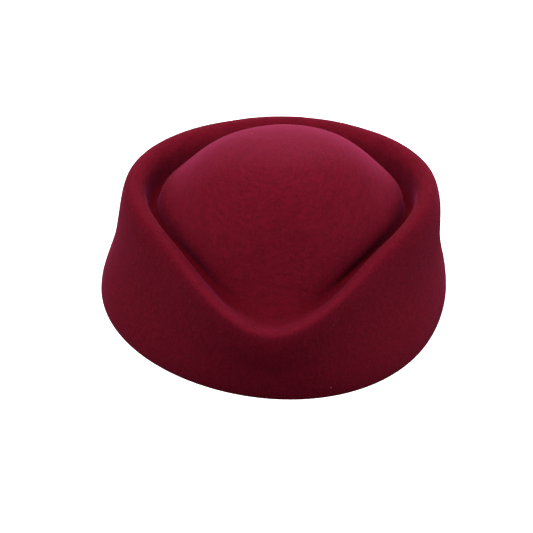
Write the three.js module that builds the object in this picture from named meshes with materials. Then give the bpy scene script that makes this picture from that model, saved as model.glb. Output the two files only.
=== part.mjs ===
import * as THREE from 'three';

// An air-hostess hat blocked from one piece of thick wool felt. The wall flares to a flat cut rim on z = 0,
// rolls over along a crest that dips to a V at the front (-Y), goes down into a channel and comes up again
// as an egg-shaped crown. All lengths are millimetres.

const FELT = 2.8;             // thickness of the felt
const RIM_TRUE = 14;          // height over which the felt turns from the plumb cut edge to the wall's slope
const FACETS_ROUND = 56;      // facets round the hat
const FACETS_UP = 36;         // facets from the rim to the top of the crown
const TURN_WEIGHT = 18;       // millimetres of length that one radian of fold counts as when rows are spread

// The rings the hat is shaped through, from the rim up. The outline of each is a circle of the given radius,
// made oval, drawn out to a corner at the front, squared and skewed, and filled out over the front half
// (frontFull), then moved back (setback) and sideways (lean). Its height above the rim is given at the front,
// the sides and the back.
const RINGS = {
  rim: {
    radius: 95.0, oval: -0.5, corner: 1.7, square: -0.8, skew: -0.5, twist: 2.5, frontFull: 0.0,
    setback: 1.5, lean: 2.4, front: 0, side: 0, back: 0,
  },
  crest: {
    radius: 71.5, oval: -2.0, corner: 5.2, square: 3.4, skew: -0.6, twist: 0.2, frontFull: 3.2,
    setback: 5.0, lean: 3.3, front: 38.3, side: 60.8, back: 65.1,
  },
  crownFoot: {
    radius: 57.0, oval: -6.9, corner: 3.3, square: 1.7, skew: -0.7, twist: -0.1, frontFull: 8.0,
    setback: 9.0, lean: 3.6, front: 34.5, side: 53.2, back: 46.9,
  },
  crownFlank: {
    radius: 51.0, oval: -4.0, corner: 0.6, square: 1.0, skew: -0.6, twist: 0.2, frontFull: 5.0,
    setback: 10.8, lean: 3.8, front: 56.0, side: 62.5, back: 62.0,
  },
  crownShoulder: {
    radius: 36.1, oval: -2.0, corner: 0.7, square: 0.6, skew: -0.8, twist: 0.2, frontFull: 1.0,
    setback: 11.1, lean: 4.4, front: 80.8, side: 83.0, back: 82.0,
  },
  crownTop: {
    radius: 15.1, oval: -0.6, corner: 0.3, square: 0.0, skew: -0.2, twist: 0.0, frontFull: 0.0,
    setback: 10.5, lean: 4.4, front: 85.6, side: 85.6, back: 85.6,
  },
};
const CROWN = ['crownFoot', 'crownFlank', 'crownShoulder', 'crownTop'];

// Bends of the wall between the rim and the roll: share of the way in, and up, from the rim to the crest. The
// wall's middle is hollower round the sides and back than at the front.
const WALL_FOOT = { inward: 0.01, up: 0.12 };
const WALL_MIDDLE = { front: { inward: 0.30, up: 0.42 }, round: { inward: 0.44, up: 0.39 } };

// The roll along the crest, the shoulder of the wall just below it, and the tip of the V, where the crest comes
// further out and dips further down.
const ROLL = { halfWidth: 4.9, frontNarrower: 0.3, rise: 1.2, innerDrop: 3.4 };
const SHOULDER = { out: 4.6, drop: 12.2, frontDropLess: 1.4 };
const V_TIP = { out: 3.6, down: 6.0, sharpness: 40 };

// The channel between the roll and the crown: how far its outer side comes in below the roll and how high its
// floor lies at the front, the sides and the back, half the floor's width, and where its side bends.
const CHANNEL = {
  front: { inset: 8.0, height: 29.0 },
  side: { inset: 1.0, height: 44.5 },
  back: { inset: 3.0, height: 40.0 },
  halfWidth: 2.6,
  bend: { inward: 0.47, down: 0.46 },
};

// How sharply the dip at the front and the fullness at the back die away round the hat.
const FRONT_SHARPNESS = 6;
const BACK_SHARPNESS = 2;

const mix = (a, b, share) => a + (b - a) * share;

// A point at distance r from a ring's own centre, at angle t round from the front.
function place(r, t, setback, lean, z) {
  return [r * Math.sin(t) + lean, setback - r * Math.cos(t), z];
}

// A value that is given at the front, the sides and the back, eased round the hat to angle t.
function eased(front, side, back, t) {
  const tilt = (front - back) / 2;
  const dip = ((front + back) / 2 - side) / 2;
  return side + dip + tilt * Math.cos(t) + dip * Math.cos(2 * t);
}

// 1 at the front, falling away round the hat the faster the sharper it is.
const nearFront = (t, sharpness) => ((1 + Math.cos(t)) / 2) ** sharpness;

// Radius, height and centre of one ring at angle t.
function ringAt(ring, t) {
  const fullShare = Math.cos(t) > 0 ? 1 - Math.sin(t) ** 4 : 0;
  const radius = ring.radius + ring.oval * Math.cos(2 * t) + ring.corner * Math.cos(3 * t)
    + ring.square * Math.cos(4 * t) + ring.skew * Math.sin(2 * t) + ring.twist * Math.sin(3 * t)
    + ring.frontFull * fullShare;
  const height = eased(ring.front, ring.side, ring.back, t);
  return { radius, height, setback: ring.setback, lean: ring.lean };
}

// The fourteen guide points of the profile at angle t, from the rim up and over to the top of the crown.
function guidePoints(t) {
  const frontShare = nearFront(t, FRONT_SHARPNESS);
  const backShare = nearFront(Math.PI - t, BACK_SHARPNESS);
  const rim = ringAt(RINGS.rim, t);
  const crest = ringAt(RINGS.crest, t);
  crest.radius += V_TIP.out * nearFront(t, V_TIP.sharpness);
  crest.height -= V_TIP.down * nearFront(t, V_TIP.sharpness);
  const middle = {
    inward: mix(WALL_MIDDLE.round.inward, WALL_MIDDLE.front.inward, frontShare),
    up: mix(WALL_MIDDLE.round.up, WALL_MIDDLE.front.up, frontShare),
  };
  const points = [place(rim.radius, t, rim.setback, rim.lean, rim.height)];
  for (const { inward, up } of [WALL_FOOT, middle]) {
    points.push(place(mix(rim.radius, crest.radius, inward), t, mix(rim.setback, crest.setback, inward),
      mix(rim.lean, crest.lean, inward), mix(rim.height, crest.height, up)));
  }

  const aroundCrest = (out, height) => place(crest.radius + out, t, crest.setback, crest.lean, height);
  const half = ROLL.halfWidth - ROLL.frontNarrower * frontShare;
  const drop = SHOULDER.drop - SHOULDER.frontDropLess * frontShare;
  const rollTop = crest.height + ROLL.rise;
  points.push(aroundCrest(half + SHOULDER.out, crest.height - drop));
  points.push(aroundCrest(half, rollTop), aroundCrest(-half, rollTop - ROLL.innerDrop));

  const { front, side, back, bend } = CHANNEL;
  const inset = side.inset + (front.inset - side.inset) * frontShare + (back.inset - side.inset) * backShare;
  const floor = eased(front.height, side.height, back.height, t);
  const bendHeight = mix(crest.height - ROLL.innerDrop, floor, bend.down);
  points.push(aroundCrest(-half - inset * bend.inward, bendHeight));
  points.push(aroundCrest(-half - inset, floor), aroundCrest(-half - inset - 2 * CHANNEL.halfWidth, floor));

  for (const name of CROWN) {
    const ring = ringAt(RINGS[name], t);
    points.push(place(ring.radius, t, ring.setback, ring.lean, ring.height));
  }
  points.push([RINGS.crownTop.lean, RINGS.crownTop.setback, RINGS.crownTop.side]);
  return points;
}

// Weights of the guide points at s, for a cubic curve that starts and ends on its first and last points.
const GUIDES = guidePoints(0).length;
const DEGREE = 3;
const SPANS = GUIDES - DEGREE;
const knot = (i) => Math.min(Math.max(i - DEGREE, 0), SPANS);

function weights(s) {
  const span = Math.min(Math.floor(s), SPANS - 1) + DEGREE;
  let row = [1];
  for (let degree = 1; degree <= DEGREE; degree++) {
    const next = new Array(degree + 1).fill(0);
    for (let k = 0; k < degree; k++) {
      const left = knot(span - degree + 1 + k);
      const right = knot(span + 1 + k);
      const share = (s - left) / (right - left);
      next[k] += row[k] * (1 - share);
      next[k + 1] += row[k] * share;
    }
    row = next;
  }
  return { first: span - DEGREE, row };
}

function outerPoint(s, t) {
  const points = guidePoints(t);
  const { first, row } = weights(s);
  const at = (axis) => row.reduce((sum, weight, k) => sum + weight * points[first + k][axis], 0);
  return new THREE.Vector3(at(0), at(1), at(2));
}

// Direction out of the felt at s and t.
const NUDGE = 1e-3;
function outward(s, t) {
  const alongProfile = outerPoint(s + (s > 1 ? -NUDGE : NUDGE), t).sub(outerPoint(s, t));
  if (s > 1) alongProfile.negate();
  const round = outerPoint(s, t + NUDGE).sub(outerPoint(s, t - NUDGE));
  return round.cross(alongProfile).normalize();
}

// The point of the inner face under s and t. The cut edge at the rim is square to the ground.
function innerPoint(s, t) {
  const outer = outerPoint(s, t);
  const direction = outward(s, t);
  direction.z *= THREE.MathUtils.smoothstep(outer.z, 0, RIM_TRUE);
  return outer.addScaledVector(direction.normalize(), -FELT);
}

// Rows from the rim to just short of the top, closer together where the side profile folds.
const FINE_STEPS = 60;
function rowPositions() {
  const side = Math.PI / 2;
  const steps = SPANS * FINE_STEPS;
  const walk = [0];
  for (let i = 1; i <= steps; i++) {
    const [s0, s1] = [(i - 1) / FINE_STEPS, Math.min(i / FINE_STEPS, SPANS - NUDGE)];
    const length = outerPoint(s1, side).distanceTo(outerPoint(s0, side));
    walk.push(walk[i - 1] + length + TURN_WEIGHT * outward(s1, side).angleTo(outward(s0, side)));
  }
  const rows = [];
  for (let row = 0, i = 0; row < FACETS_UP; row++) {
    const goal = (walk[steps] * row) / FACETS_UP;
    while (walk[i + 1] < goal) i++;
    rows.push((i + (goal - walk[i]) / (walk[i + 1] - walk[i])) / FINE_STEPS);
  }
  return rows;
}

function feltBody() {
  const rows = rowPositions();
  const { lean, setback, side } = RINGS.crownTop;
  const positions = [];
  const indices = [];
  const addRows = (pointAt) => {
    const start = positions.length / 3;
    for (const s of rows) {
      for (let j = 0; j < FACETS_ROUND; j++) positions.push(...pointAt(s, (j / FACETS_ROUND) * 2 * Math.PI));
    }
    return start;
  };
  const outer = addRows((s, t) => outerPoint(s, t).toArray());
  const outerTop = positions.length / 3;
  positions.push(lean, setback, side);
  const inner = addRows((s, t) => innerPoint(s, t).toArray());
  const innerTop = positions.length / 3;
  positions.push(lean, setback, side - FELT);

  const last = rows.length - 1;
  for (let j = 0; j < FACETS_ROUND; j++) {
    const k = (j + 1) % FACETS_ROUND;
    const at = (start, row, column) => start + row * FACETS_ROUND + column;
    for (let i = 0; i < last; i++) {
      const [a, b] = [at(outer, i, j), at(outer, i, k)];
      const [c, d] = [at(outer, i + 1, j), at(outer, i + 1, k)];
      indices.push(a, b, d, a, d, c);
      const [e, f] = [at(inner, i, j), at(inner, i, k)];
      const [g, h] = [at(inner, i + 1, j), at(inner, i + 1, k)];
      indices.push(e, h, f, e, g, h);
    }
    indices.push(at(outer, last, j), at(outer, last, k), outerTop);
    indices.push(at(inner, last, k), at(inner, last, j), innerTop);
    const [a, b, e, f] = [at(outer, 0, j), at(outer, 0, k), at(inner, 0, j), at(inner, 0, k)];
    indices.push(a, f, b, a, e, f);
  }
  const geometry = new THREE.BufferGeometry();
  geometry.setAttribute('position', new THREE.Float32BufferAttribute(positions, 3));
  geometry.setIndex(indices);
  geometry.computeVertexNormals();
  return geometry;
}

const felt = new THREE.MeshStandardMaterial({ color: 0x6b1a2b, roughness: 0.95, metalness: 0 });
const body = new THREE.Mesh(feltBody(), felt);
body.name = 'felt_body';

const hat = new THREE.Group();
hat.name = 'air_hostess_hat';
hat.add(body);

export default hat;
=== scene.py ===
from collections import namedtuple
import math

import bpy
import numpy as np
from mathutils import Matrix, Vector


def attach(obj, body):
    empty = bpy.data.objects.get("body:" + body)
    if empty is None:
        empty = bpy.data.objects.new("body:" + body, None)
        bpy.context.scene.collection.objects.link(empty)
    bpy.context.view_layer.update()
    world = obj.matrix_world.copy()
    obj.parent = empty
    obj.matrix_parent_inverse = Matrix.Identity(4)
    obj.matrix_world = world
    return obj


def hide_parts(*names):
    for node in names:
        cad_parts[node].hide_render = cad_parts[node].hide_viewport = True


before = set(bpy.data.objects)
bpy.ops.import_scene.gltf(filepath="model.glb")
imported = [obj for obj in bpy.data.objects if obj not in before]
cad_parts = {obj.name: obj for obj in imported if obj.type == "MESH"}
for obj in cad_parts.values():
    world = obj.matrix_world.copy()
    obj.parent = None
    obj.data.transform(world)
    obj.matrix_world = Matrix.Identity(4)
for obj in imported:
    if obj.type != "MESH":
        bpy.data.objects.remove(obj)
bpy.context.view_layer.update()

MM = 0.001

# --- The blocked felt ------------------------------------------------------------------------------
# The hat is one piece of thick wine-red wool felt, steamed over a block: a flared wall, a rolled collar
# that dips to a V at the front, a channel, and an egg-shaped crown. Its edge is cut and left raw. The rings
# are those of the solid that it replaces, in millimetres, and the felt's own unevenness is worked into them.
FELT = 2.8                  # thickness
RIM_TRUE = 14               # height over which the felt turns from the plumb cut edge to the wall's slope

# The outline of a ring is a circle of the given radius, made oval, drawn out to a corner at the front,
# squared, skewed and twisted, and filled out over the front half. Then it is moved back (setback) and
# sideways (lean). Its height above the cut edge is given at the front, the sides and the back.
Ring = namedtuple("Ring", "radius oval corner square skew twist front_full setback lean front side back")
RINGS = {
    #    radius, oval, corner, square, skew, twist, front_full, setback, lean, front, side, back
    "rim": Ring(95.0, -0.5, 1.7, -0.8, -0.5, 2.5, 0.0, 1.5, 2.4, 0, 0, 0),
    "crest": Ring(71.5, -2.0, 5.2, 3.4, -0.6, 0.2, 3.2, 5.0, 3.3, 38.3, 60.8, 65.1),
    "crown_foot": Ring(57.0, -6.9, 3.3, 1.7, -0.7, -0.1, 8.0, 9.0, 3.6, 34.5, 53.2, 46.9),
    "crown_flank": Ring(51.0, -4.0, 0.6, 1.0, -0.6, 0.2, 5.0, 10.8, 3.8, 56.0, 62.5, 62.0),
    "crown_shoulder": Ring(36.1, -2.0, 0.7, 0.6, -0.8, 0.2, 1.0, 11.1, 4.4, 80.8, 83.0, 82.0),
    "crown_top": Ring(15.1, -0.6, 0.3, 0.0, -0.2, 0.0, 0.0, 10.5, 4.4, 85.6, 85.6, 85.6),
}
FRONT_SHARPNESS, BACK_SHARPNESS = 6, 2      # how fast the shape of the front and the back dies away

# Bends of the wall: share of the way in, and up, from the rim to the crest.
WALL_FOOT = (0.01, 0.12)
WALL_MIDWAY = {"front": (0.30, 0.42), "round": (0.44, 0.39)}

# The roll along the crest, the wall's shoulder just below it, and the tip of the V, where the crest comes
# further out and dips further down.
ROLL_HALF, ROLL_FRONT_NARROWER, ROLL_RISE, ROLL_INNER_DROP = 4.9, 0.3, 1.2, 3.4
SHOULDER_OUT, SHOULDER_DROP, SHOULDER_FRONT_LESS = 4.6, 12.2, 1.4
V_TIP_OUT, V_TIP_DOWN, V_TIP_SHARPNESS = 3.6, 6.0, 40

# The channel: how far its outer side comes in below the roll, how high its floor lies, half the floor's
# width, and where its side bends.
CHANNEL_INSET = {"front": 8.0, "side": 1.0, "back": 3.0}
CHANNEL_HEIGHT = {"front": 29.0, "side": 44.5, "back": 40.0}
CHANNEL_HALF, CHANNEL_BEND_IN, CHANNEL_BEND_DOWN = 2.6, 0.47, 0.46


def eased(front, side, back, t):
    """A value given at the front, the sides and the back, eased round the hat to angle t."""
    tilt = (front - back) / 2
    dip = ((front + back) / 2 - side) / 2
    return side + dip + tilt * np.cos(t) + dip * np.cos(2 * t)


def near_front(t, sharpness):
    """1 at the front, falling away round the hat the faster the sharper it is."""
    return ((1 + np.cos(t)) / 2) ** sharpness


def near_back(t, sharpness):
    return ((1 - np.cos(t)) / 2) ** sharpness


def reach_of(ring, t):
    """How far out a ring lies from its own centre at angle t."""
    return (ring.radius + ring.oval * np.cos(2 * t) + ring.corner * np.cos(3 * t)
            + ring.square * np.cos(4 * t) + ring.skew * np.sin(2 * t) + ring.twist * np.sin(3 * t)
            + ring.front_full * np.where(np.cos(t) > 0, 1 - np.sin(t) ** 4, 0))


def placed(reach, t, setback, lean, height):
    return np.stack([reach * np.sin(t) + lean, setback - reach * np.cos(t), height + 0 * t])


def guide_points(t):
    """The fourteen guide points of the profile at each angle t, from the rim to the top of the crown."""
    front, back = near_front(t, FRONT_SHARPNESS), near_back(t, BACK_SHARPNESS)
    tip = near_front(t, V_TIP_SHARPNESS)
    rim, crest = RINGS["rim"], RINGS["crest"]
    rim_reach, rim_height = reach_of(rim, t), eased(rim.front, rim.side, rim.back, t)
    crest_reach = reach_of(crest, t) + V_TIP_OUT * tip
    crest_height = eased(crest.front, crest.side, crest.back, t) - V_TIP_DOWN * tip
    points = [placed(rim_reach, t, rim.setback, rim.lean, rim_height)]
    midway = [flat + (at_front - flat) * front
              for at_front, flat in zip(WALL_MIDWAY["front"], WALL_MIDWAY["round"])]
    for inward, up in (WALL_FOOT, midway):
        points.append(placed(rim_reach + (crest_reach - rim_reach) * inward, t,
                             rim.setback + (crest.setback - rim.setback) * inward,
                             rim.lean + (crest.lean - rim.lean) * inward,
                             rim_height + (crest_height - rim_height) * up))
    half = ROLL_HALF - ROLL_FRONT_NARROWER * front
    inset = (CHANNEL_INSET["side"] + (CHANNEL_INSET["front"] - CHANNEL_INSET["side"]) * front
             + (CHANNEL_INSET["back"] - CHANNEL_INSET["side"]) * back)
    floor = eased(CHANNEL_HEIGHT["front"], CHANNEL_HEIGHT["side"], CHANNEL_HEIGHT["back"], t)
    for out, height in (
        (half + SHOULDER_OUT, crest_height - SHOULDER_DROP + SHOULDER_FRONT_LESS * front),
        (half, crest_height + ROLL_RISE),
        (-half, crest_height + ROLL_RISE - ROLL_INNER_DROP),
        (-half - inset * CHANNEL_BEND_IN, crest_height - ROLL_INNER_DROP
         + (floor - crest_height + ROLL_INNER_DROP) * CHANNEL_BEND_DOWN),
        (-half - inset, floor),
        (-half - inset - 2 * CHANNEL_HALF, floor),
    ):
        points.append(placed(crest_reach + out, t, crest.setback, crest.lean, height))
    for name in ("crown_foot", "crown_flank", "crown_shoulder", "crown_top"):
        ring = RINGS[name]
        points.append(placed(reach_of(ring, t), t, ring.setback, ring.lean,
                             eased(ring.front, ring.side, ring.back, t)))
    top = RINGS["crown_top"]
    points.append(placed(0 * t, t, top.setback, top.lean, top.side))
    return np.array(points)


DEGREE = 3                  # of the curve that the profile follows
SPANS = len(guide_points(np.zeros(1))) - DEGREE
NUDGE = 1e-4                # a very small step along the profile or round the hat
TURN_WEIGHT = 18.0          # length in mm that one radian of fold counts as when rows are spread
FINE_PLACES = 900           # places at which the profile's length and fold are measured
SHORT_OF_TOP = 1e-3         # how far below the crown's top point the measuring ends, along the profile


def weights(s):
    """How much each guide point counts at each place s along the profile."""
    knots = np.clip(np.arange(SPANS + 2 * DEGREE + 1) - DEGREE, 0, SPANS)
    table = np.zeros((len(s), SPANS + DEGREE))
    for row, at in zip(table, s):
        span = min(int(at), SPANS - 1) + DEGREE
        share = [1.0]
        for degree in range(1, DEGREE + 1):
            left = [knots[span - degree + 1 + k] for k in range(degree)]
            right = [knots[span + 1 + k] for k in range(degree)]
            part = [(at - a) / (b - a) for a, b in zip(left, right)]
            share = [(share[k] * (1 - part[k]) if k < degree else 0)
                     + (share[k - 1] * part[k - 1] if k else 0) for k in range(degree + 1)]
        row[span - DEGREE:span + 1] = share
    return table


def outer_face(s, t):
    """Points of the felt's outer face, rows along the profile by columns round the hat."""
    return np.einsum("sg,gct->stc", weights(s), guide_points(t))


def smooth(low, high, x):
    share = np.clip((x - low) / (high - low), 0, 1)
    return share * share * (3 - 2 * share)


def inner_face(s, t):
    """Points of the inner face, one thickness in from the outer one. The cut edge is square to the ground."""
    step = np.where(s > 1, -NUDGE, NUDGE)
    outer = outer_face(s, t)
    up = (outer_face(s + step, t) - outer) * np.sign(step)[:, None, None]
    around = outer_face(s, t + NUDGE) - outer_face(s, t - NUDGE)
    outward = np.cross(around, up)
    outward /= np.linalg.norm(outward, axis=2, keepdims=True)
    outward[..., 2] *= smooth(0, RIM_TRUE, outer[..., 2])
    outward /= np.linalg.norm(outward, axis=2, keepdims=True)
    return outer - FELT * outward


def even_rows(count):
    """Places along the profile, closer together where it folds."""
    s = np.linspace(0, SPANS - SHORT_OF_TOP, FINE_PLACES)
    side = outer_face(s, np.array([math.pi / 2]))[:, 0]
    step = np.diff(side, axis=0)
    length = np.linalg.norm(step, axis=1)
    direction = step / length[:, None]
    turn = np.arccos(np.clip((direction[1:] * direction[:-1]).sum(1), -1, 1))
    walk = np.concatenate([[0], np.cumsum(length + TURN_WEIGHT * np.append(turn, 0))])
    return np.interp(np.linspace(0, walk[-1], count + 1)[:-1], walk, s)


ROUND = 300                 # faces round the hat
OUTER_ROWS, INNER_ROWS = 180, 100
EDGE_ROUNDING = 0.35        # how far the raw edge's corners are worn round

# Where painted light lies on the felt: painted shade on the front wall and in the channel, a painted
# highlight on the roll and a painted sheen on the crown. Places are along the profile: 0 is the cut edge,
# 3.35 the top of the roll, about 6.5 the bottom of the channel (5.8 at the tip of the V) and 11 the top of
# the crown.
WALL_SHADE_FADES = (2.9, 3.5)         # the painted shade on the front wall comes to an end between these
WALL_SHADE_SHARPNESS = 1.9            # and dies away this fast round the hat
# Painted highlight along the top of the roll: where it lies and how wide it is.
ROLL_HIGHLIGHT_AT, ROLL_HIGHLIGHT_WIDTH = 3.35, 0.35
# Painted shade in the channel: where it lies, how wide it is, and how much less of it there is at the front.
GROOVE_SHADE_AT, GROOVE_SHADE_WIDTH = 6.6, 1.25
GROOVE_SHADE_FRONT_LESS, GROOVE_SHADE_FRONT_SHARPNESS = 0.45, 8
CROWN_SHEEN_FROM = (8.2, 10.0)            # the painted sheen on the crown comes in between these


def felt_mesh():
    """The whole felt, with how much painted shade (front wall, channel), painted highlight (roll) and painted
    sheen (crown) each point takes.
    """
    t = np.linspace(0, 2 * math.pi, ROUND, endpoint=False)
    outer_rows, inner_rows = even_rows(OUTER_ROWS), even_rows(INNER_ROWS)
    outer = outer_face(outer_rows, t)
    inner = inner_face(inner_rows, t)
    outer_edge, inner_edge = outer[0].copy(), inner[0].copy()
    across = inner_edge - outer_edge
    across /= np.linalg.norm(across, axis=1, keepdims=True)
    bevel = EDGE_ROUNDING * (1 - math.sqrt(0.5))
    outer[0] = outer_edge + [0, 0, EDGE_ROUNDING]
    inner[0] = inner_edge + [0, 0, EDGE_ROUNDING]
    cut = [inner_edge + [0, 0, bevel] - across * bevel, inner_edge - across * EDGE_ROUNDING,
           (inner_edge + outer_edge) / 2, outer_edge + across * EDGE_ROUNDING,
           outer_edge + [0, 0, bevel] + across * bevel]
    loops = list(inner[::-1]) + cut + list(outer)
    ring = RINGS["crown_top"]
    top = np.array([ring.lean, ring.setback, ring.side])
    points = np.concatenate(loops + [[top - [0, 0, FELT]], [top]]) * MM
    inner_top, outer_top = len(points) - 2, len(points) - 1
    faces = []
    for row in range(len(loops) - 1):
        a = row * ROUND
        for j in range(ROUND):
            k = (j + 1) % ROUND
            faces.append((a + j, a + k, a + ROUND + k, a + ROUND + j))
    last = (len(loops) - 1) * ROUND
    for j in range(ROUND):
        k = (j + 1) % ROUND
        faces.append((k, j, inner_top))
        faces.append((last + j, last + k, outer_top))
    mesh = bpy.data.meshes.new("felt_hat")
    mesh.from_pydata(points.tolist(), [], faces)
    mesh.shade_smooth()
    everywhere = np.ones(ROUND)
    # Masks of painted light: shade on the front wall, a highlight on the roll, shade in the channel and sheen
    # up the crown.
    painted_light_masks = {
        "front_wall_shade": (1 - smooth(*WALL_SHADE_FADES, outer_rows), near_front(t, WALL_SHADE_SHARPNESS)),
        "roll_highlight": (np.exp(-((outer_rows - ROLL_HIGHLIGHT_AT) / ROLL_HIGHLIGHT_WIDTH) ** 2), everywhere),
        "groove_shade": (np.exp(-((outer_rows - GROOVE_SHADE_AT) / GROOVE_SHADE_WIDTH) ** 2),
                   1 - GROOVE_SHADE_FRONT_LESS * near_front(t, GROOVE_SHADE_FRONT_SHARPNESS)),
        "crown": (smooth(*CROWN_SHEEN_FROM, outer_rows), everywhere),
    }
    for name, (along, around) in painted_light_masks.items():
        values = np.zeros(len(points))
        values[inner_top - OUTER_ROWS * ROUND:inner_top] = np.outer(along, around).ravel()
        mesh.attributes.new(name, "FLOAT", "POINT").data.foreach_set("value", values)
    return mesh


# The dyed wool. Its own colour is mottled, streaked, clouded and flecked with lint; on top of that, painted
# shade darkens the front wall and the channel, a painted highlight lightens the top of the roll, and a
# painted sheen turns the crown pinker where it is seen edge on.
DEEP = (0.100, 0.0030, 0.0095, 1)
WINE = (0.170, 0.0046, 0.0156, 1)
# The paler wool of the streaks and clouds, also used for the painted highlight on the roll.
PALE_AND_HIGHLIGHT = (0.188, 0.0056, 0.0205, 1)
# The colour of the painted sheen on the crown.
PAINTED_SHEEN = (0.24, 0.018, 0.058, 1)
LINT = (0.42, 0.12, 0.15, 1)
WALL_SHADE_TINT = (0.60, 0.42, 0.56, 1)       # painted shade: what the colour is multiplied by on the front wall and in the channel
GROOVE_SHADE_TINT = (0.50, 0.05, 0.20, 1)
SHEEN_TINT = (0.95, 0.08, 0.27, 1)
# Sizes of the patterns, as a number to the metre, and how strongly each shows.
CLOUDS, CLOUD_SHARE = 38, 0.11
MOTTLES = 760
WALL_STREAKS = (620, 620, 90)
CROWN_STREAKS_ACROSS, CROWN_STREAKS_ALONG, STREAK_SHARE = 680, 150, 0.34
WAVERS, WAVER_DEPTH = 120, 0.0035       # depth in metres
SPECKS, SPECK_SIZE = 120, 0.035         # size as a share of the space between specks
LINT_PATCHES, LINT_RARITY = 60, 0.67
# How strong the painted highlight on the roll is.
ROLL_HIGHLIGHT_SHARE = 0.06
BUMP_STRENGTH, BUMP_DEPTH, STREAK_BUMP_SHARE = 0.5, 0.00025, 0.55

felt = bpy.data.materials.new("wine_wool_felt")
felt.use_nodes = True
tree = felt.node_tree
shader = tree.nodes["Principled BSDF"]
shader.inputs["Roughness"].default_value = 0.92
shader.inputs["Specular IOR Level"].default_value = 0.05
shader.inputs["Sheen Weight"].default_value = 0.17
shader.inputs["Sheen Roughness"].default_value = 0.45
shader.inputs["Sheen Tint"].default_value = SHEEN_TINT


def add(kind, **settings):
    """A new node of the felt's material, with its sockets and settings set by name."""
    node = tree.nodes.new(kind)
    for name, value in settings.items():
        if name in node.inputs:
            node.inputs[name].default_value = value
        else:
            setattr(node, name, value)
    return node


def join(source, target):
    tree.links.new(source, target)


place = add("ShaderNodeTexCoord").outputs["Object"]
COLOUR_A, COLOUR_B, COLOUR_RESULT = 6, 7, 2     # the colour sockets of a Mix node


def noise(scale, detail, rough=0.55, vector=None):
    node = add("ShaderNodeTexNoise", Scale=scale, Detail=detail, Roughness=rough)
    join(vector or place, node.inputs["Vector"])
    return node.outputs["Fac"]


def stretched(amount):
    node = add("ShaderNodeMapping", Scale=amount)
    join(place, node.inputs["Vector"])
    return node.outputs["Vector"]


def blend(a, b, amount, mode="MIX"):
    node = add("ShaderNodeMix", data_type="RGBA", blend_type=mode)
    for socket, value in (("Factor", amount), (COLOUR_A, a), (COLOUR_B, b)):
        if isinstance(value, (int, float, tuple)):
            node.inputs[socket].default_value = value
        else:
            join(value, node.inputs[socket])
    return node.outputs[COLOUR_RESULT]


def ramp(source, low, high):
    node = add("ShaderNodeMapRange", interpolation_type="SMOOTHSTEP")
    node.inputs["From Min"].default_value = low
    node.inputs["From Max"].default_value = high
    join(source, node.inputs["Value"])
    return node.outputs["Result"]


def attribute(name):
    return add("ShaderNodeAttribute", attribute_name=name).outputs["Fac"]


def maths(operation, *values):
    node = add("ShaderNodeMath", operation=operation)
    for socket, value in zip(node.inputs, values):
        if isinstance(value, (int, float)):
            socket.default_value = value
        else:
            join(value, socket)
    return node.outputs["Value"]


def streaks(vector):
    return ramp(noise(1.0, detail=3, rough=0.6, vector=vector), low=0.30, high=0.72)


cloudy = ramp(noise(CLOUDS, detail=4), low=0.32, high=0.70)
mottle = ramp(noise(MOTTLES, detail=4, rough=0.65), low=0.30, high=0.72)
across_wall = streaks(stretched(WALL_STREAKS))
split = add("ShaderNodeSeparateXYZ")
join(place, split.inputs["Vector"])
from_middle = add("ShaderNodeVectorMath", operation="LENGTH")
join(stretched((1, 1, 0)), from_middle.inputs[0])
ringed = add("ShaderNodeCombineXYZ")
wavering = maths("ADD", from_middle.outputs["Value"], maths("MULTIPLY", noise(WAVERS, detail=2), WAVER_DEPTH))
for source, socket, scale in ((wavering, "X", CROWN_STREAKS_ACROSS),
                              (split.outputs["X"], "Y", CROWN_STREAKS_ALONG),
                              (split.outputs["Y"], "Z", CROWN_STREAKS_ALONG)):
    join(maths("MULTIPLY", source, scale), ringed.inputs[socket])
round_crown = streaks(ringed.outputs["Vector"])
# The front wall's painted-shade mask also picks where the wall's streaks take over.
streak = blend(round_crown, across_wall, ramp(attribute("front_wall_shade"), low=0.0, high=0.4))
specks = add("ShaderNodeTexVoronoi", Scale=SPECKS, Randomness=1.0)
join(place, specks.inputs["Vector"])
speck = maths("LESS_THAN", specks.outputs["Distance"], SPECK_SIZE)
lint = maths("MULTIPLY", speck, maths("GREATER_THAN", noise(LINT_PATCHES, detail=2), LINT_RARITY))

colour = blend(DEEP, WINE, mottle)
colour = blend(colour, blend(DEEP, PALE_AND_HIGHLIGHT, streak), STREAK_SHARE)
# Paler in random clouds, plus a painted highlight along the top of the roll.
clouds_and_roll_highlight = maths("ADD", maths("MULTIPLY", cloudy, CLOUD_SHARE),
                maths("MULTIPLY", attribute("roll_highlight"), ROLL_HIGHLIGHT_SHARE))
colour = blend(colour, PALE_AND_HIGHLIGHT, clouds_and_roll_highlight)
# Painted shade: the front wall darkened.
colour = blend(colour, blend(colour, WALL_SHADE_TINT, 1.0, "MULTIPLY"), attribute("front_wall_shade"))
# Painted shade: the channel darkened.
colour = blend(colour, blend(colour, GROOVE_SHADE_TINT, 1.0, "MULTIPLY"), attribute("groove_shade"))
# Painted sheen: the crown's colour turned pinker where it is seen edge on.
edge_on = ramp(add("ShaderNodeLayerWeight", Blend=0.5).outputs["Facing"], low=0.22, high=1.0)
colour = blend(colour, PAINTED_SHEEN, maths("MULTIPLY", edge_on, attribute("crown")))
join(blend(colour, LINT, lint), shader.inputs["Base Color"])
bump = add("ShaderNodeBump", Strength=BUMP_STRENGTH, Distance=BUMP_DEPTH)
join(blend(mottle, streak, STREAK_BUMP_SHARE), bump.inputs["Height"])
join(bump.outputs["Normal"], shader.inputs["Normal"])


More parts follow.
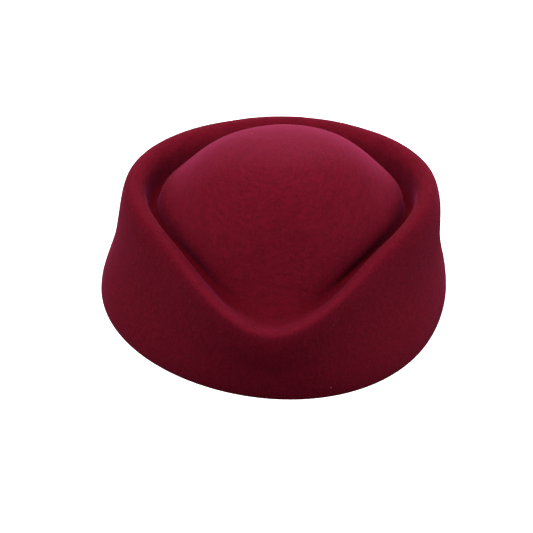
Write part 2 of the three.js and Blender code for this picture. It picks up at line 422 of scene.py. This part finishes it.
def shape_tree(name, numbers):
    """A geometry tree with one geometry and the given named numbers as its inputs."""
    group = bpy.data.node_groups.new(name, "GeometryNodeTree")
    group.interface.new_socket("Geometry", in_out="INPUT", socket_type="NodeSocketGeometry")
    group.interface.new_socket("Geometry", in_out="OUTPUT", socket_type="NodeSocketGeometry")
    for label in numbers:
        group.interface.new_socket(label, in_out="INPUT", socket_type="NodeSocketFloat")
    return group, group.nodes.new("NodeGroupInput").outputs, group.nodes.new("NodeGroupOutput").inputs


def grow(group, kind, settings, **links):
    """A node with its settings made, and its inputs linked or set by name, or by number, as _0."""
    node = group.nodes.new(kind)
    for name, value in settings.items():
        setattr(node, name, value)
    for name, value in links.items():
        socket = node.inputs[int(name[1:])] if name[1:].isdigit() else node.inputs[name.replace("_", " ")]
        if isinstance(value, bpy.types.NodeSocket):
            group.links.new(value, socket)
        else:
            socket.default_value = value
    return node


def height_in(group):
    """How high each point lies above the ground."""
    position = grow(group, "GeometryNodeInputPosition", {})
    return grow(group, "ShaderNodeSeparateXYZ", {}, Vector=position.outputs[0]).outputs["Z"]


def close_tree(group, geometry, material, result):
    """End a tree with its shape made real and given its material."""
    whole = grow(group, "GeometryNodeRealizeInstances", {}, Geometry=geometry)
    coloured = grow(group, "GeometryNodeSetMaterial", {}, Geometry=whole.outputs[0], Material=material)
    group.links.new(coloured.outputs[0], result["Geometry"])


def finished(base, group, values, name):
    """A new object with the mesh that the tree makes of the base object."""
    shaping = base.modifiers.new("shaping", "NODES")
    shaping.node_group = group
    for item in group.interface.items_tree:
        if item.in_out == "INPUT" and item.name in values:
            shaping[item.identifier] = values[item.name]
    bpy.context.view_layer.update()
    seen = base.evaluated_get(bpy.context.evaluated_depsgraph_get())
    mesh = bpy.data.meshes.new_from_object(seen)
    base.modifiers.remove(shaping)
    made = bpy.data.objects.new(name, mesh)
    bpy.context.scene.collection.objects.link(made)
    return made


blank = bpy.data.objects.new("felt_blank", felt_mesh())
bpy.context.scene.collection.objects.link(blank)
blank.data.materials.append(felt)

# The felt's unevenness in metres: from its lowest to its highest, the size of its swells, and the height
# over which it comes in above the cut edge.
UNEVEN_DEPTH, UNEVEN_SIZE, EDGE_KEPT_TRUE = 0.0011, 0.030, 0.006
MIDDLE_OF_NOISE = 0.5
uneven, given, result = shape_tree("uneven_felt", ("Depth", "Size", "Edge kept true"))
per_metre = grow(uneven, "ShaderNodeMath", {"operation": "DIVIDE"}, _0=1.0, _1=given["Size"])
swell = grow(uneven, "ShaderNodeTexNoise", {}, Scale=per_metre.outputs[0], Detail=2.0, Roughness=0.5)
centred = grow(uneven, "ShaderNodeMath", {"operation": "SUBTRACT"}, _0=swell.outputs["Fac"],
               _1=MIDDLE_OF_NOISE)
clear = grow(uneven, "ShaderNodeMapRange", {"interpolation_type": "SMOOTHSTEP"}, Value=height_in(uneven),
             From_Min=0.0, From_Max=given["Edge kept true"])
depth = grow(uneven, "ShaderNodeMath", {"operation": "MULTIPLY"}, _0=centred.outputs[0], _1=given["Depth"])
push = grow(uneven, "ShaderNodeMath", {"operation": "MULTIPLY"}, _0=depth.outputs[0],
            _1=clear.outputs["Result"])
along = grow(uneven, "ShaderNodeVectorMath", {"operation": "SCALE"},
             _0=grow(uneven, "GeometryNodeInputNormal", {}).outputs[0], Scale=push.outputs[0])
moved = grow(uneven, "GeometryNodeSetPosition", {}, Geometry=given["Geometry"], Offset=along.outputs[0])
close_tree(uneven, moved.outputs[0], felt, result)

hat = finished(blank, uneven, {"Depth": UNEVEN_DEPTH, "Size": UNEVEN_SIZE, "Edge kept true": EDGE_KEPT_TRUE},
               "felt_hat")
bpy.data.objects.remove(blank)
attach(hat, "root")
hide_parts("felt_body")

# --- The loose fibres ------------------------------------------------------------------------------
# Short wool fibres that brushing has raised from the felt, outside and in, leaning every way. They are of
# the felt itself, and nothing else holds them.
FIBRE_LONG, FIBRE_RADIUS, FIBRE_SIDES = 0.0016, 0.000035, 3     # metres
FIBRES_PER_SQUARE_METRE, CLEAR_OF_GROUND = 130000, 0.003
LEAN = (1.5, 1.5, 3.1)                                          # most turn each way, radians
LEAST_SHARE, MOST_SHARE = (0.7, 0.7, 0.4), (1.2, 1.2, 1.3)      # of the radius both ways, and the length
PLANTED_SEED, LEAN_SEED, SHARE_SEED = 4, 9, 2
FIBRE_COLOUR = (0.15, 0.005, 0.016, 1)
fibre_wool = bpy.data.materials.new("loose_wool")
fibre_wool.use_nodes = True
fibre_look = fibre_wool.node_tree.nodes["Principled BSDF"]
fibre_look.inputs["Base Color"].default_value = FIBRE_COLOUR
fibre_look.inputs["Roughness"].default_value = 0.85
fibre_look.inputs["Sheen Weight"].default_value = 0.1

fibres, given, result = shape_tree("loose_fibres", ("Density", "Length", "Radius", "Clear of the ground"))
high = grow(fibres, "FunctionNodeCompare", {"data_type": "FLOAT", "operation": "GREATER_THAN"},
            _0=height_in(fibres), _1=given["Clear of the ground"])
spread = grow(fibres, "GeometryNodeDistributePointsOnFaces", {"distribute_method": "RANDOM"},
              Mesh=given["Geometry"], Selection=high.outputs[0], Density=given["Density"],
              Seed=PLANTED_SEED)
cone = grow(fibres, "GeometryNodeMeshCone", {"fill_type": "TRIANGLE_FAN"}, Vertices=FIBRE_SIDES,
            Side_Segments=1, Radius_Top=0.0, Radius_Bottom=given["Radius"], Depth=given["Length"])
swing = grow(fibres, "FunctionNodeRandomValue", {"data_type": "FLOAT_VECTOR"},
             _0=tuple(-most for most in LEAN), _1=LEAN, Seed=LEAN_SEED)
turned = grow(fibres, "FunctionNodeRotateEuler", {"space": "LOCAL"}, Rotation=spread.outputs["Rotation"],
              Rotate_By=swing.outputs[0])
stretch = grow(fibres, "FunctionNodeRandomValue", {"data_type": "FLOAT_VECTOR"}, _0=LEAST_SHARE,
               _1=MOST_SHARE, Seed=SHARE_SEED)
planted = grow(fibres, "GeometryNodeInstanceOnPoints", {}, Points=spread.outputs["Points"],
               Instance=cone.outputs["Mesh"], Rotation=turned.outputs[0], Scale=stretch.outputs[0])
close_tree(fibres, planted.outputs[0], fibre_wool, result)

bed = bpy.data.objects.new("fibre_bed", hat.data)
bpy.context.scene.collection.objects.link(bed)
nap = finished(bed, fibres, {"Density": FIBRES_PER_SQUARE_METRE, "Length": FIBRE_LONG,
                             "Radius": FIBRE_RADIUS, "Clear of the ground": CLEAR_OF_GROUND},
               "loose_fibres")
bpy.data.objects.remove(bed)
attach(nap, "root")
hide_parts("felt_body")

# --- The studio ------------------------------------------------------------------------------------
# A pale floor, a soft light high up and a little in front, another behind, and a low one at each side. The
# floor and the surround look white, and throw little light back on the hat.
HALF_FLOOR = 4.0
FLOOR_TO_HAT, FLOOR_TO_VIEW = (0.16, 0.16, 0.16, 1), (0.95, 0.95, 0.95, 1)
SURROUND_TO_HAT, SURROUND_TO_VIEW = 0.09, 1.0
WHITE = (1, 1, 1, 1)
floor_mesh = bpy.data.meshes.new("floor")
floor_mesh.from_pydata([(-HALF_FLOOR, -HALF_FLOOR, 0), (HALF_FLOOR, -HALF_FLOOR, 0),
                        (HALF_FLOOR, HALF_FLOOR, 0), (-HALF_FLOOR, HALF_FLOOR, 0)], [], [(0, 1, 2, 3)])
floor = bpy.data.objects.new("floor", floor_mesh)
bpy.context.scene.collection.objects.link(floor)
paper = bpy.data.materials.new("pale_paper")
paper.use_nodes = True
sheet = paper.node_tree.nodes["Principled BSDF"]
sheet.inputs["Roughness"].default_value = 0.9
in_view = paper.node_tree.nodes.new("ShaderNodeLightPath").outputs["Is Camera Ray"]
tone = paper.node_tree.nodes.new("ShaderNodeMix")
tone.data_type = "RGBA"
tone.inputs[COLOUR_A].default_value = FLOOR_TO_HAT
tone.inputs[COLOUR_B].default_value = FLOOR_TO_VIEW
paper.node_tree.links.new(in_view, tone.inputs["Factor"])
paper.node_tree.links.new(tone.outputs[COLOUR_RESULT], sheet.inputs["Base Color"])
sheet.inputs["Emission Color"].default_value = WHITE
paper.node_tree.links.new(in_view, sheet.inputs["Emission Strength"])
floor_mesh.materials.append(paper)

world = bpy.data.worlds.new("studio")
world.use_nodes = True
surround = world.node_tree.nodes["Background"]
surround.inputs["Color"].default_value = WHITE
brightness = world.node_tree.nodes.new("ShaderNodeMapRange")
brightness.inputs["To Min"].default_value = SURROUND_TO_HAT
brightness.inputs["To Max"].default_value = SURROUND_TO_VIEW
in_view = world.node_tree.nodes.new("ShaderNodeLightPath").outputs["Is Camera Ray"]
world.node_tree.links.new(in_view, brightness.inputs["Value"])
world.node_tree.links.new(brightness.outputs["Result"], surround.inputs["Strength"])
bpy.context.scene.world = world

for name, at, aim_height, size, power in (
    # name, where it stands, height of the hat that it points at, width in metres, watts
    ("overhead", (-0.12, -0.38, 1.15), 0.05, 0.6, 13.5),
    ("behind", (0.0, 1.1, 0.6), 0.06, 0.8, 10),
    ("left", (-1.1, 0.25, 0.35), 0.04, 0.7, 4.6),
    ("right", (1.1, 0.25, 0.35), 0.04, 0.7, 7.5),
):
    light = bpy.data.lights.new(name, "AREA")
    light.shape = "DISK"
    light.size = size
    light.energy = power
    lamp = bpy.data.objects.new(name, light)
    lamp.location = at
    lamp.rotation_euler = (Vector((0, 0, aim_height)) - Vector(at)).to_track_quat("-Z", "Y").to_euler()
    bpy.context.scene.collection.objects.link(lamp)

AIM = Vector((2.4, 3.1, 40.0)) * MM         # a point inside the crown
ELEVATION, YAW, DISTANCE = math.radians(35), math.radians(2.86), 1.0
OFF_RIGHT, OFF_UP = -0.006108, -0.022161    # how far the view is turned off that point, as tangents
LENS = 125.63                               # focal length in mm
right = Vector((math.cos(YAW), math.sin(YAW), 0))
ahead = Vector((-math.sin(YAW), math.cos(YAW), 0))
look = ahead * math.cos(ELEVATION) - Vector((0, 0, math.sin(ELEVATION)))
up = ahead * math.sin(ELEVATION) + Vector((0, 0, math.cos(ELEVATION)))
camera_data = bpy.data.cameras.new("camera")
camera_data.lens = LENS
camera = bpy.data.objects.new("camera", camera_data)
camera.location = AIM - look * DISTANCE
camera.rotation_euler = (look + right * OFF_RIGHT + up * OFF_UP).to_track_quat("-Z", "Y").to_euler()
bpy.context.scene.collection.objects.link(camera)
bpy.context.scene.camera = camera
bpy.context.scene.view_settings.view_transform = "Standard"
